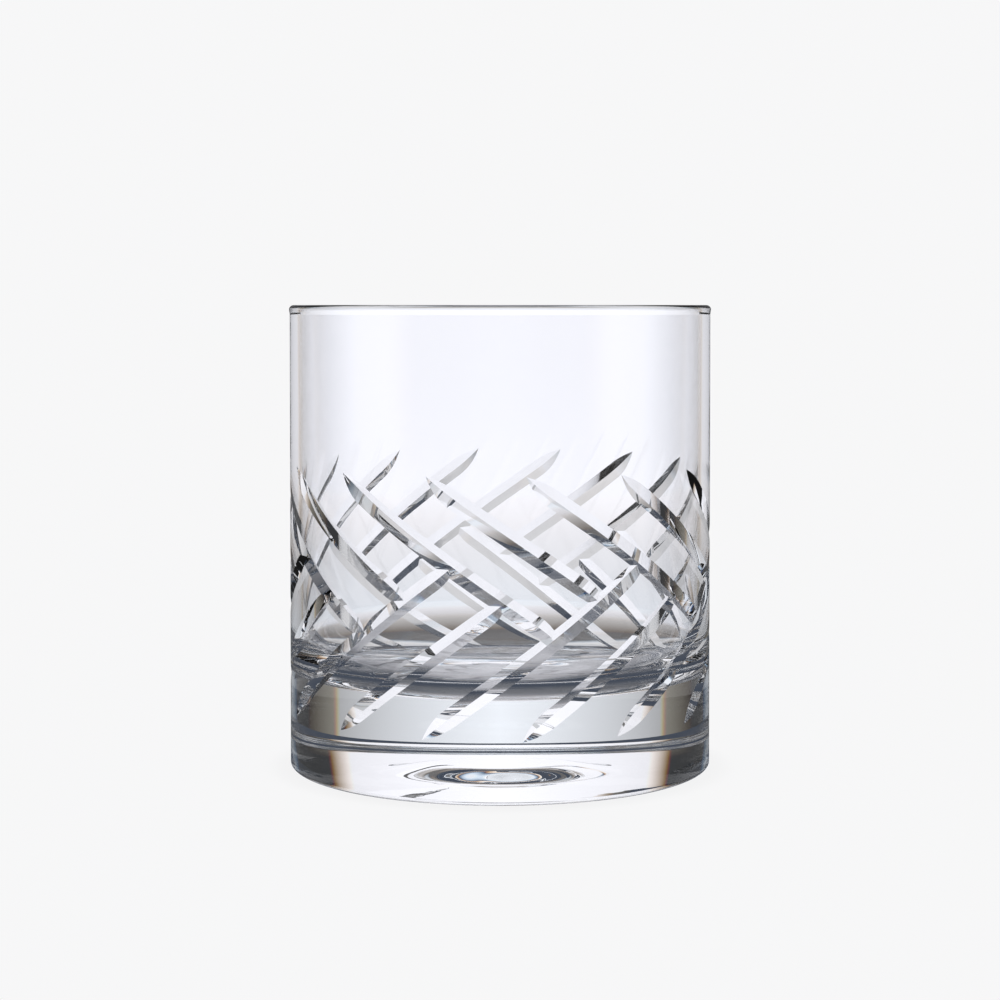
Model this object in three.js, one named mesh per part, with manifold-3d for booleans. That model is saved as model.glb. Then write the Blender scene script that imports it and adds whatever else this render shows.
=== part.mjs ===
// A straight-sided whiskey tumbler in cut crystal: one solid piece of glass.
// Millimetres, +Z up. The origin is the centre of the plane that the foot ring stands on.
// The glass is turned from one closed profile, then a woven band of V-shaped
// strokes is ground into the outer wall.

import * as THREE from 'three';
import { mergeVertices } from 'three/addons/utils/BufferGeometryUtils.js';
import Module from 'manifold-3d';

// ---- Driving dimensions: the glass ----
const WALL_OUTER_RADIUS = 41;
const HEIGHT = 90;
const RIM_WALL = 1.7; // wall thickness just under the rim
const LOW_WALL = 2.3; // wall thickness where the inner fillet starts
const FLOOR_THICKNESS = 16; // height of the middle of the well's floor
const BOWL_RISE = 3.2; // how far the rounded floor rises from its middle to the wall
const FILLET_HEIGHT = 8; // inner corner on top of the rounded floor, an elliptical quarter
const FILLET_WIDTH = 8.2;
const HEEL_HEIGHT = 1.1; // outer corner between wall and foot, an elliptical quarter
const HEEL_WIDTH = 1.8;
const PUNT_RADIUS = 36.5; // hollow under the base, inside the foot ring
const PUNT_RISE = 0.8; // how far the shallow outer part of the hollow rises
const KICK_RISE = 2; // how far the kick in its middle rises further
const KICK_TOP_RADIUS = 7; // where the kick's slope ends at its flat top
const KICK_FOOT_RADIUS = 17; // where that slope begins
const BEAD_HEIGHT = 1.8; // melted rim: a bead that stands slightly proud of the wall
const BEAD_PROUD = 0.15;

// ---- Driving dimensions: the cut band ----
const STROKES_PER_SLOPE = 14;
const TOP_TIP_HEIGHT = 58.8; // where the falling strokes begin
const BOTTOM_TIP_HEIGHT = 11.9; // where the rising strokes begin
const FALLING_SLOPE = THREE.MathUtils.degToRad(34);
const RISING_SLOPE = THREE.MathUtils.degToRad(36);
const FIRST_FALLING_ANGLE = THREE.MathUtils.degToRad(6.2); // from the front, towards +X
const FIRST_RISING_ANGLE = THREE.MathUtils.degToRad(5.4);
const GROOVE_DEPTH = 1;
const GROOVE_HALF_ANGLE = THREE.MathUtils.degToRad(60);
const RUN_IN = 6.6; // length of each stroke's pointed end, where the wheel goes in or comes out
const OVERRUN = 1.8; // how far a stroke's end passes the centre line of the stroke it meets
const FALLING_HOOK = 0.6; // how far each end bends to the steeper side
const RISING_HOOK = 0.3;

// ---- Fineness ----
const TURN_SEGMENTS = 72;
const KICK_STEPS = 6;
const PUNT_STEPS = 3;
const HEEL_STEPS = 4;
const RIM_STEPS = 6;
const FILLET_STEPS = 7;
const BOWL_STEPS = 4;
const RUN_IN_STEPS = 4;
const MIDDLE_STEP = 7;
const CUTTER_CLEARANCE = 0.4; // how far each cutter stands out of the wall
const WELD_DISTANCE = 1e-4;

const PITCH_ANGLE = (2 * Math.PI) / STROKES_PER_SLOPE;
const QUARTER = Math.PI / 2;

// Points of an elliptical arc about a centre, from one angle to another, both ends included.
function ellipseArc(centreR, centreZ, width, height, fromAngle, toAngle, steps) {
  const points = [];
  for (let i = 0; i <= steps; i += 1) {
    const angle = THREE.MathUtils.lerp(fromAngle, toAngle, i / steps);
    points.push(new THREE.Vector2(centreR + width * Math.cos(angle), centreZ + height * Math.sin(angle)));
  }
  return points;
}

// Evenly spaced numbers from one to another, both ends included.
function spread(from, to, steps) {
  return Array.from({ length: steps + 1 }, (_, i) => THREE.MathUtils.lerp(from, to, i / steps));
}

// The hollow under the base, from its middle to the foot ring: a flat-topped kick
// inside a shallow dome.
function baseHollow() {
  const slope = spread(KICK_TOP_RADIUS, KICK_FOOT_RADIUS, KICK_STEPS);
  const dome = spread(KICK_FOOT_RADIUS, PUNT_RADIUS, PUNT_STEPS).slice(1);
  return [0, ...slope, ...dome].map((r) => {
    const kick = 1 - THREE.MathUtils.smoothstep(r, KICK_TOP_RADIUS, KICK_FOOT_RADIUS);
    return new THREE.Vector2(r, PUNT_RISE * (1 - (r / PUNT_RADIUS) ** 2) + KICK_RISE * kick);
  });
}

// The inside of the well, from the top of the fillet to the middle of the floor: an
// elliptical fillet that stands on a rounded floor.
function wellFloor() {
  const wellRadius = WALL_OUTER_RADIUS - LOW_WALL;
  const bowl = (r) => FLOOR_THICKNESS + BOWL_RISE * (r / wellRadius) ** 2;
  const fillet = spread(QUARTER, 0, FILLET_STEPS).map((angle) => {
    const r = wellRadius - FILLET_WIDTH * (1 - Math.sin(angle));
    return new THREE.Vector2(r, bowl(r) + FILLET_HEIGHT * (1 - Math.cos(angle)));
  });
  const floor = spread(wellRadius - FILLET_WIDTH, 0, BOWL_STEPS).slice(1);
  return [...fillet, ...floor.map((r) => new THREE.Vector2(r, bowl(r)))];
}

// The closed profile as radius and height: from the middle of the hollow out over the foot
// and heel, up the wall, over the rim, and down the inner wall to the middle of the floor.
function glassProfile() {
  const heel = ellipseArc(WALL_OUTER_RADIUS - HEEL_WIDTH, HEEL_HEIGHT, HEEL_WIDTH, HEEL_HEIGHT,
    -QUARTER, 0, HEEL_STEPS);
  const beadBottom = new THREE.Vector2(WALL_OUTER_RADIUS, HEIGHT - BEAD_HEIGHT);
  const rimCentre = WALL_OUTER_RADIUS + BEAD_PROUD - (RIM_WALL + BEAD_PROUD) / 2;
  const rim = ellipseArc(rimCentre, HEIGHT - BEAD_HEIGHT / 2, (RIM_WALL + BEAD_PROUD) / 2, BEAD_HEIGHT / 2,
    0, Math.PI, RIM_STEPS);
  return [...baseHollow(), ...heel, beadBottom, ...rim, ...wellFloor()];
}

// A manifold-3d solid from a three.js geometry whose surface is closed.
function toSolid(wasm, geometry) {
  const bare = geometry.clone();
  bare.deleteAttribute('normal');
  bare.deleteAttribute('uv');
  const merged = mergeVertices(bare, WELD_DISTANCE);
  return new wasm.Manifold(new wasm.Mesh({
    numProp: 3,
    vertProperties: new Float32Array(merged.attributes.position.array),
    triVerts: new Uint32Array(merged.index.array),
  }));
}

// The uncut glass, turned about +Z.
function turnedGlass() {
  return new THREE.LatheGeometry(glassProfile(), TURN_SEGMENTS).rotateX(QUARTER);
}

// How far round the glass a stroke's overrun takes it.
function overrunAngle(slope) {
  return (OVERRUN * Math.cos(slope)) / WALL_OUTER_RADIUS;
}

// Where a falling and a rising stroke's centre lines cross, as an angle round the glass.
function crossingAngle(fallingStart, risingStart) {
  const fall = WALL_OUTER_RADIUS * Math.tan(FALLING_SLOPE);
  const rise = WALL_OUTER_RADIUS * Math.tan(RISING_SLOPE);
  const drop = TOP_TIP_HEIGHT - BOTTOM_TIP_HEIGHT;
  return (drop + fall * fallingStart + rise * risingStart) / (fall + rise);
}

// Start, end and slope of every stroke. Long and short strokes alternate in each slope,
// and each one ends in the side of a long stroke of the other slope.
function strokePlan() {
  const strokes = [];
  for (let k = 0; k < STROKES_PER_SLOPE; k += 1) {
    const falling = FIRST_FALLING_ANGLE + k * PITCH_ANGLE;
    const rising = FIRST_RISING_ANGLE + k * PITCH_ANGLE;
    const fallingIsLong = k % 2 === 0;
    const metRising = fallingIsLong ? rising + PITCH_ANGLE : rising;
    const metFalling = fallingIsLong ? falling : falling + PITCH_ANGLE;
    strokes.push(
      {
        start: falling,
        end: crossingAngle(falling, metRising) + overrunAngle(FALLING_SLOPE),
        height: TOP_TIP_HEIGHT,
        slope: -FALLING_SLOPE,
        hook: FALLING_HOOK,
      },
      {
        start: rising,
        end: crossingAngle(metFalling, rising) + overrunAngle(RISING_SLOPE),
        height: BOTTOM_TIP_HEIGHT,
        slope: RISING_SLOPE,
        hook: -RISING_HOOK,
      },
    );
  }
  return strokes;
}

// How much of the wheel's way in is still ahead: 1 at a stroke's tips, 0 where it is full.
function tipShare(distance, length) {
  const fromEnd = Math.min(distance, length - distance);
  return Math.max(0, 1 - fromEnd / RUN_IN);
}

// Distances along a stroke at which its cutter has a section: close at the tips.
function stations(length) {
  const middleSteps = Math.round((length - 2 * RUN_IN) / MIDDLE_STEP);
  const distances = [];
  for (let i = 0; i < RUN_IN_STEPS; i += 1) distances.push((i / RUN_IN_STEPS) * RUN_IN);
  for (let i = 0; i <= middleSteps; i += 1) {
    distances.push(RUN_IN + (i / middleSteps) * (length - 2 * RUN_IN));
  }
  for (let i = RUN_IN_STEPS - 1; i >= 0; i -= 1) distances.push(length - (i / RUN_IN_STEPS) * RUN_IN);
  return distances;
}

// One section of a stroke's cutter, as two corners outside the wall and the root in it.
function cutterSection(stroke, distance, length) {
  const share = tipShare(distance, length);
  const side = distance < length / 2 ? 1 : -1;
  const lateral = side * stroke.hook * share ** 2;
  const depth = GROOVE_DEPTH * (1 - share ** 2);
  const along = distance * Math.cos(stroke.slope) - lateral * Math.sin(stroke.slope);
  const angle = stroke.start + along / WALL_OUTER_RADIUS;
  const outward = new THREE.Vector3(Math.sin(angle), -Math.cos(angle), 0);
  const across = new THREE.Vector3(Math.cos(angle), Math.sin(angle), 0);
  across.multiplyScalar(-Math.sin(stroke.slope)).setZ(Math.cos(stroke.slope));
  const middle = outward.clone().multiplyScalar(WALL_OUTER_RADIUS);
  middle.z = stroke.height + distance * Math.sin(stroke.slope) + lateral * Math.cos(stroke.slope);
  const half = (depth + CUTTER_CLEARANCE) * Math.tan(GROOVE_HALF_ANGLE);
  const top = middle.clone().addScaledVector(outward, CUTTER_CLEARANCE);
  return [
    top.clone().addScaledVector(across, half),
    top.clone().addScaledVector(across, -half),
    middle.clone().addScaledVector(outward, -depth),
  ];
}

// One stroke's cutter: a bar of triangular section that follows the wall. Its root goes
// as deep as the wheel does, and it is wider and stands proud outside the wall.
function cutterGeometry(stroke) {
  const arcLength = (stroke.end - stroke.start) * WALL_OUTER_RADIUS;
  const length = arcLength / Math.cos(stroke.slope);
  const sections = stations(length).map((distance) => cutterSection(stroke, distance, length));
  const index = [0, 2, 1];
  const last = 3 * (sections.length - 1);
  for (let a = 0; a < last; a += 3) {
    for (let side = 0; side < 3; side += 1) {
      const next = (side + 1) % 3;
      index.push(a + side, a + next, a + side + 3, a + next, a + next + 3, a + side + 3);
    }
  }
  index.push(last, last + 1, last + 2);
  const geometry = new THREE.BufferGeometry().setFromPoints(sections.flat());
  geometry.setIndex(index);
  return geometry;
}

// A three.js geometry from a manifold-3d solid.
function toGeometry(solid) {
  const mesh = solid.getMesh();
  const positions = new Float32Array(mesh.numVert * 3);
  for (let i = 0; i < mesh.numVert; i += 1) {
    positions.set(mesh.vertProperties.subarray(i * mesh.numProp, i * mesh.numProp + 3), i * 3);
  }
  const geometry = new THREE.BufferGeometry();
  geometry.setAttribute('position', new THREE.BufferAttribute(positions, 3));
  geometry.setIndex(new THREE.BufferAttribute(new Uint32Array(mesh.triVerts), 1));
  geometry.computeVertexNormals();
  return geometry;
}

// The glass with its cut band.
function cutGlass(wasm) {
  let glass = toSolid(wasm, turnedGlass());
  strokePlan().forEach((stroke) => {
    glass = glass.subtract(toSolid(wasm, cutterGeometry(stroke)));
  });
  return toGeometry(glass);
}

const wasm = await Module();
wasm.setup();

const crystal = new THREE.MeshStandardMaterial({
  color: 0xf2f4fa, roughness: 0.03, metalness: 0, transparent: true, opacity: 0.35,
});
const tumblerGlass = new THREE.Mesh(cutGlass(wasm), crystal);
tumblerGlass.name = 'tumbler_glass';

const tumbler = new THREE.Group();
tumbler.name = 'whiskey_tumbler';
tumbler.add(tumblerGlass);

export default tumbler;
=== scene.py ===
"""Looks of a cut-crystal whiskey tumbler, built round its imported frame.

The tumbler is one piece of glass. Its body is turned from a closed outline, a Geometry Nodes
tree grinds the woven band of V-shaped strokes into the wall, and each zone of the surface gets
the finish that it has on the real thing. Sizes are in metres, +Z is up and -Y is the front.
"""

import logging
import math
from dataclasses import dataclass, field, fields
from enum import Enum
from typing import Callable, ClassVar, Union

import bpy
import numpy as np
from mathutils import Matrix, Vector


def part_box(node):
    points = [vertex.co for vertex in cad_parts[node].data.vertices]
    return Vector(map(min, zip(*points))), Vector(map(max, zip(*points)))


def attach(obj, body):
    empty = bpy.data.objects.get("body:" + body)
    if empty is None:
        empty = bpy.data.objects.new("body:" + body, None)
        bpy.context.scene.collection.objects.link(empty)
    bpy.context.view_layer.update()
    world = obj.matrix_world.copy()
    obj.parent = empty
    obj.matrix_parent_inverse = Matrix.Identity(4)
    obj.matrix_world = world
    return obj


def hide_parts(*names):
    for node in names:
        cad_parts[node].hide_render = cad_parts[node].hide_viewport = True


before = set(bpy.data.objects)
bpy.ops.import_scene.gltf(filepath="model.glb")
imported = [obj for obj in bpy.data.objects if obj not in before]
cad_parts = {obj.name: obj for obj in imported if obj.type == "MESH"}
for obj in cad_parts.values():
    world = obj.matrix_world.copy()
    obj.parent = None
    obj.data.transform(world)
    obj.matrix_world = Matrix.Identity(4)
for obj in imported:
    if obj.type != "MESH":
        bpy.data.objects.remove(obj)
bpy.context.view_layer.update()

LOG = logging.getLogger("whiskey_tumbler")
MM = 0.001
GLASS_NODE = "tumbler_glass"
GLASS_BODY = "root"
CRYSTAL_IOR = 1.52
GRAIN = "stroke_grain"
STROKE_SPACING = 50 * MM
SAME_POINT = 1e-9
AXIS_REACH = 1e-7
NEUTRAL_LIGHT = (1.0, 1.0, 1.02)
COOL_LIGHT = (0.955, 0.995, 1.055)
DRAB_LIGHT = (1.03, 1.03, 0.93)
CLEAR_LIGHT = (0.98, 0.985, 1.04)
WARM_LIGHT = (1.02, 0.99, 0.99)


class Zone(Enum):
    """The zones of the glass's surface. Each has its own finish, in this order of slots."""

    WALL = 0
    CUT = 1
    RIM = 2
    WELL = 3
    FOOT = 4
    PUNT = 5


# ---------------------------------------------------------------------------------------------
# Small helpers for node trees
# ---------------------------------------------------------------------------------------------


@dataclass(frozen=True)
class Term:
    """A number in a node tree. Arithmetic on it adds Math nodes to the tree."""

    tree: bpy.types.NodeTree
    socket: bpy.types.NodeSocket

    def math(self, operation: str, *others: "Operand") -> "Term":
        """Adds a Math node that takes this number first.

        Args:
            operation: the Math node's operation.
            others: the node's other operands, as terms or plain numbers.

        Returns:
            The node's result.
        """
        return math_term(self.tree, operation, self, *others)

    def __add__(self, other: "Operand") -> "Term":
        """Adds two numbers."""
        return self.math("ADD", other)

    def __sub__(self, other: "Operand") -> "Term":
        """Subtracts the other number from this one."""
        return self.math("SUBTRACT", other)

    def __mul__(self, other: "Operand") -> "Term":
        """Multiplies two numbers."""
        return self.math("MULTIPLY", other)

    def __truediv__(self, other: "Operand") -> "Term":
        """Divides this number by the other."""
        return self.math("DIVIDE", other)

    def __rsub__(self, other: float) -> "Term":
        """Subtracts this number from a plain one."""
        return math_term(self.tree, "SUBTRACT", other, self)

    def choose(self, when_set: "Operand", otherwise: "Operand") -> "Term":
        """Picks between two numbers, with this one as a switch that is 0 or 1.

        Args:
            when_set: the value where the switch is 1.
            otherwise: the value where the switch is 0.

        Returns:
            The chosen value.
        """
        return self * when_set + (1.0 - self) * otherwise


Operand = Union[Term, float]
Operand3 = Union[bpy.types.NodeSocket, tuple[float, float, float]]
Glow = tuple[tuple[float, tuple[float, float, float]], ...]


def plug(tree: bpy.types.NodeTree, value: "Operand", socket: bpy.types.NodeSocket) -> None:
    """Feeds a term or a plain number to a socket.

    Args:
        tree: the tree that holds the socket.
        value: what to feed.
        socket: the input that takes it.
    """
    if isinstance(value, Term):
        tree.links.new(value.socket, socket)
    else:
        socket.default_value = value


def math_term(tree: bpy.types.NodeTree, operation: str, *operands: "Operand") -> Term:
    """Adds a Math node to a tree.

    Args:
        tree: the tree to add to.
        operation: the node's operation.
        operands: its inputs, in order.

    Returns:
        The node's result.
    """
    node = tree.nodes.new("ShaderNodeMath")
    node.operation = operation
    for value, socket in zip(operands, node.inputs):
        plug(tree, value, socket)
    return Term(tree, node.outputs[0])


def vector_math(tree: bpy.types.NodeTree, operation: str,
                *operands: "Operand3") -> bpy.types.NodeSocket:
    """Adds a vector math node.

    Args:
        tree: the node tree.
        operation: the node's operation.
        operands: sockets, or tuples of three numbers.

    Returns:
        The node's vector.
    """
    node = tree.nodes.new("ShaderNodeVectorMath")
    node.operation = operation
    for socket, operand in zip(node.inputs, operands):
        if isinstance(operand, tuple):
            socket.default_value = operand
        else:
            tree.links.new(operand, socket)
    return node.outputs["Vector"]


def add_node(tree: bpy.types.NodeTree, kind: str, settings: dict | None = None,
             **inputs: object) -> bpy.types.Node:
    """Adds a node and sets it up.

    Args:
        tree: the tree to add to.
        kind: the node's type name.
        settings: the node's own properties.
        inputs: its inputs by name, with _ for a space, as sockets, terms or plain values.

    Returns:
        The new node.
    """
    node = tree.nodes.new(kind)
    for name, value in (settings or {}).items():
        setattr(node, name, value)
    for name, value in inputs.items():
        socket = node.inputs[name.replace("_", " ")]
        if isinstance(value, bpy.types.NodeSocket):
            tree.links.new(value, socket)
        else:
            plug(tree, value, socket)
    return node


# ---------------------------------------------------------------------------------------------
# The turned glass
# ---------------------------------------------------------------------------------------------


@dataclass
class Outline:
    """A closed outline to turn, as straight facets between points, each with its end normals."""

    points: list[tuple[float, float]] = field(default_factory=list)
    zones: list[Zone] = field(default_factory=list)
    normals: list[tuple[tuple[float, float], tuple[float, float]]] = field(default_factory=list)
    heading: tuple[float, float] = (0.0, -1.0)

    def arc(self, zone: Zone, centre: tuple[float, float], reach: tuple[float, float],
            turn: tuple[float, float], steps: int, hollow: bool = False) -> None:
        """Adds an elliptical arc.

        Args:
            zone: the zone of its facets.
            centre: its centre, as radius and height.
            reach: its half axes, along the radius and the height.
            turn: the angles that it starts and ends at, in radians.
            steps: how many facets it has.
            hollow: whether the glass is outside the arc, so that its surface faces the centre.
        """
        angles = np.linspace(turn[0], turn[1], steps + 1)
        facing = -1.0 if hollow else 1.0
        for angle in angles:
            point = (centre[0] + reach[0] * math.cos(angle), centre[1] + reach[1] * math.sin(angle))
            normal = Vector((facing * math.cos(angle) / reach[0], facing * math.sin(angle) / reach[1]))
            self._reach(zone, point, tuple(normal.normalized()), joined=angle != angles[0])

    def line(self, zone: Zone, end: tuple[float, float], steps: int = 1) -> None:
        """Adds a straight stretch from the last point.

        Args:
            zone: the zone of its facets.
            end: where it ends, as radius and height.
            steps: how many facets it is split into.
        """
        start = self.points[-1]
        normal = tuple(Vector((end[1] - start[1], start[0] - end[0])).normalized())
        self.heading = normal
        for share in np.linspace(0.0, 1.0, steps + 1)[1:]:
            point = (start[0] + share * (end[0] - start[0]), start[1] + share * (end[1] - start[1]))
            self._facet(zone, point, normal, normal)

    def curve(self, zone: Zone, shape: Callable[[float], tuple[float, tuple[float, float]]],
              radii: list[float]) -> None:
        """Adds a curve given as a height and a normal for each radius.

        Args:
            zone: the zone of the curve's surface.
            shape: gives the height and the normal at a radius.
            radii: the radii of the curve's points, in order.
        """
        for step, radius in enumerate(radii):
            height, normal = shape(float(radius))
            self._reach(zone, (float(radius), height), normal, step > 0)

    def _reach(self, zone: Zone, point: tuple[float, float], normal: tuple[float, float],
               joined: bool) -> None:
        """Adds an arc's next point: a facet with the arc's own normals, or its first point."""
        if joined:
            self._facet(zone, point, self.heading, normal)
        elif not self.points:
            self.points.append(point)
        elif math.dist(point, self.points[-1]) > SAME_POINT:
            self.line(zone, point)
        self.heading = normal

    def _facet(self, zone: Zone, point: tuple[float, float], start: tuple[float, float],
               end: tuple[float, float]) -> None:
        """Adds one facet from the last point to a new one."""
        self.points.append(point)
        self.zones.append(zone)
        self.normals.append((start, end))


@dataclass(frozen=True)
class Swirl:
    """The shallow spiral waves that the pressing plunger leaves on the floor of the well."""

    height: float = 0.035 * MM
    wavelength: float = 6.5 * MM
    arms: int = 2
    wander: float = 1.3
    centre: tuple[float, float] = (3 * MM, -2 * MM)
    calm: float = 3 * MM
    reach: float = 35 * MM
    fade: float = 35 * MM / 3
    probe: float = 0.01 * MM

    def lift(self, x: np.ndarray, y: np.ndarray) -> np.ndarray:
        """Gives the height that the waves add at places on the floor.

        Args:
            x: the places' first coordinates.
            y: the places' second coordinates.

        Returns:
            The added heights.
        """
        aside, ahead = x - self.centre[0], y - self.centre[1]
        radius = np.hypot(aside, ahead)
        turn = np.arctan2(ahead, aside)
        phase = 2 * math.pi * radius / self.wavelength + self.arms * turn
        phase += self.wander * np.sin(2 * turn + 1)
        inside = np.clip(radius / self.calm, 0, 1)
        outside = np.clip((self.reach - np.hypot(x, y)) / self.fade, 0, 1)
        return self.height * inside * outside * np.sin(phase)

    def tilt(self, x: np.ndarray, y: np.ndarray) -> np.ndarray:
        """Gives the slopes that the waves add along both axes.

        Args:
            x: the places' first coordinates.
            y: the places' second coordinates.

        Returns:
            The slopes, with a zero third coordinate.
        """
        step = self.probe
        along_x = (self.lift(x + step, y) - self.lift(x - step, y)) / (2 * step)
        along_y = (self.lift(x, y + step) - self.lift(x, y - step)) / (2 * step)
        return np.stack([along_x, along_y, np.zeros_like(along_x)], axis=-1)


@dataclass
class GlassBody:
    """The uncut glass: its sizes, and how it is turned."""

    height: float
    bead_radius: float
    bead_proud: float = 0.15 * MM
    bead_height: float = 1.8 * MM
    rim_wall: float = 1.7 * MM
    low_wall: float = 2.3 * MM
    floor_thickness: float = 16 * MM
    bowl_rise: float = 3.2 * MM
    fillet_height: float = 8 * MM
    fillet_width: float = 8.2 * MM
    heel_height: float = 1.1 * MM
    heel_width: float = 1.8 * MM
    punt_radius: float = 36.5 * MM
    punt_rise: float = 0.8 * MM
    kick_rise: float = 2 * MM
    kick_top_radius: float = 7 * MM
    kick_foot_radius: float = 17 * MM
    swirl: Swirl = Swirl()
    segments: int = 256
    kick_points: int = 40
    dome_points: int = 16
    foot_steps: int = 3
    heel_steps: int = 10
    rim_steps: int = 18
    fillet_points: int = 29
    floor_points: int = 41

    @property
    def wall_radius(self) -> float:
        """The outer radius of the plain wall."""
        return self.bead_radius - self.bead_proud

    @property
    def well_radius(self) -> float:
        """The inner radius where the fillet meets the wall."""
        return self.wall_radius - self.low_wall

    def outline(self) -> Outline:
        """Draws the outline from the base's middle round the outside and down to the well's floor.

        Returns:
            The outline, with the glass on its left.
        """
        outline = Outline()
        quarter = math.pi / 2
        inner = np.linspace(0.0, self.kick_foot_radius, self.kick_points)
        outer = np.linspace(self.kick_foot_radius, self.punt_radius, self.dome_points)[1:]
        outline.curve(Zone.PUNT, self.base_hollow, [*inner, *outer])
        heel_centre = (self.wall_radius - self.heel_width, self.heel_height)
        heel_reach = (self.heel_width, self.heel_height)
        outline.line(Zone.FOOT, (heel_centre[0], 0.0), self.foot_steps)
        outline.arc(Zone.WALL, heel_centre, heel_reach, (-quarter, 0.0), self.heel_steps)
        outline.line(Zone.WALL, (self.wall_radius, self.height - self.bead_height))
        rim_reach = ((self.rim_wall + self.bead_proud) / 2, self.bead_height / 2)
        rim_centre = (self.bead_radius - rim_reach[0], self.height - rim_reach[1])
        outline.arc(Zone.RIM, rim_centre, rim_reach, (0.0, math.pi), self.rim_steps)
        fillet_top = self.floor_thickness + self.bowl_rise + self.fillet_height
        outline.line(Zone.WELL, (self.well_radius, fillet_top))
        turns = np.linspace(quarter, 0.0, self.fillet_points)
        fillet = self.well_radius - self.fillet_width * (1 - np.sin(turns))
        floor = np.linspace(self.well_radius - self.fillet_width, 0.0, self.floor_points)[1:]
        outline.curve(Zone.WELL, self.well_floor, [*fillet, *floor])
        return outline

    def base_hollow(self, radius: float) -> tuple[float, tuple[float, float]]:
        """Shapes the hollow under the base: a flat-topped kick inside a shallow dome.

        Args:
            radius: the distance from the axis.

        Returns:
            The height there, and the normal as radial and upward parts.
        """
        flank = self.kick_foot_radius - self.kick_top_radius
        share = min(max((radius - self.kick_top_radius) / flank, 0.0), 1.0)
        kick = self.kick_rise * (1 - share ** 2 * (3 - 2 * share))
        kick_slope = -self.kick_rise * 6 * share * (1 - share) / flank
        dome = self.punt_rise * (1 - (radius / self.punt_radius) ** 2)
        slope = kick_slope - 2 * self.punt_rise * radius / self.punt_radius ** 2
        return kick + dome, tuple(Vector((slope, -1.0)).normalized())

    def well_floor(self, radius: float) -> tuple[float, tuple[float, float]]:
        """Shapes the bottom of the well: an elliptical fillet that stands on a rounded floor.

        Args:
            radius: the distance from the axis.

        Returns:
            The height there, and the normal as radial and upward parts.
        """
        part = radius / self.well_radius
        height = self.floor_thickness + self.bowl_rise * part ** 2
        share = max(0.0, (radius - self.well_radius + self.fillet_width) / self.fillet_width)
        rest = math.sqrt(max(0.0, 1 - share ** 2))
        height += self.fillet_height * (1 - rest)
        run = self.fillet_width * rest
        rise = self.fillet_height * share + 2 * self.bowl_rise * part / self.well_radius * run
        return height, tuple(Vector((-rise, run)).normalized())

    def turned(self, outline: Outline) -> bpy.types.Mesh:
        """Turns the outline about +Z.

        Args:
            outline: what to turn. It starts and ends on the axis.

        Returns:
            A closed mesh whose material indices are its zones.
        """
        rings = outline.points[1:-1]
        turn = np.arange(self.segments) * (2 * math.pi / self.segments)
        vertices = [(0.0, 0.0, outline.points[0][1])]
        for zone, (radius, height) in zip(outline.zones, rings):
            x, y = radius * np.sin(turn), -radius * np.cos(turn)
            lift = self.swirl.lift(x, y) if zone is Zone.WELL else np.zeros(self.segments)
            vertices += zip(x.tolist(), y.tolist(), (height + lift).tolist())
        vertices.append((0.0, 0.0, outline.points[-1][1]))
        faces = []
        slots = []
        for facet, zone in enumerate(outline.zones):
            for k in range(self.segments):
                near = 1 + (facet - 1) * self.segments
                far = near + self.segments
                following = (k + 1) % self.segments
                if facet == 0:
                    faces.append((0, far + following, far + k))
                elif facet == len(outline.zones) - 1:
                    faces.append((near + k, near + following, len(vertices) - 1))
                else:
                    faces.append((near + k, near + following, far + following, far + k))
                slots.append(zone.value)
        mesh = bpy.data.meshes.new("turned_glass")
        mesh.from_pydata(vertices, [], faces)
        mesh.polygons.foreach_set("material_index", slots)
        mesh.update()
        return mesh


# ---------------------------------------------------------------------------------------------
# The cut band
# ---------------------------------------------------------------------------------------------


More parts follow.
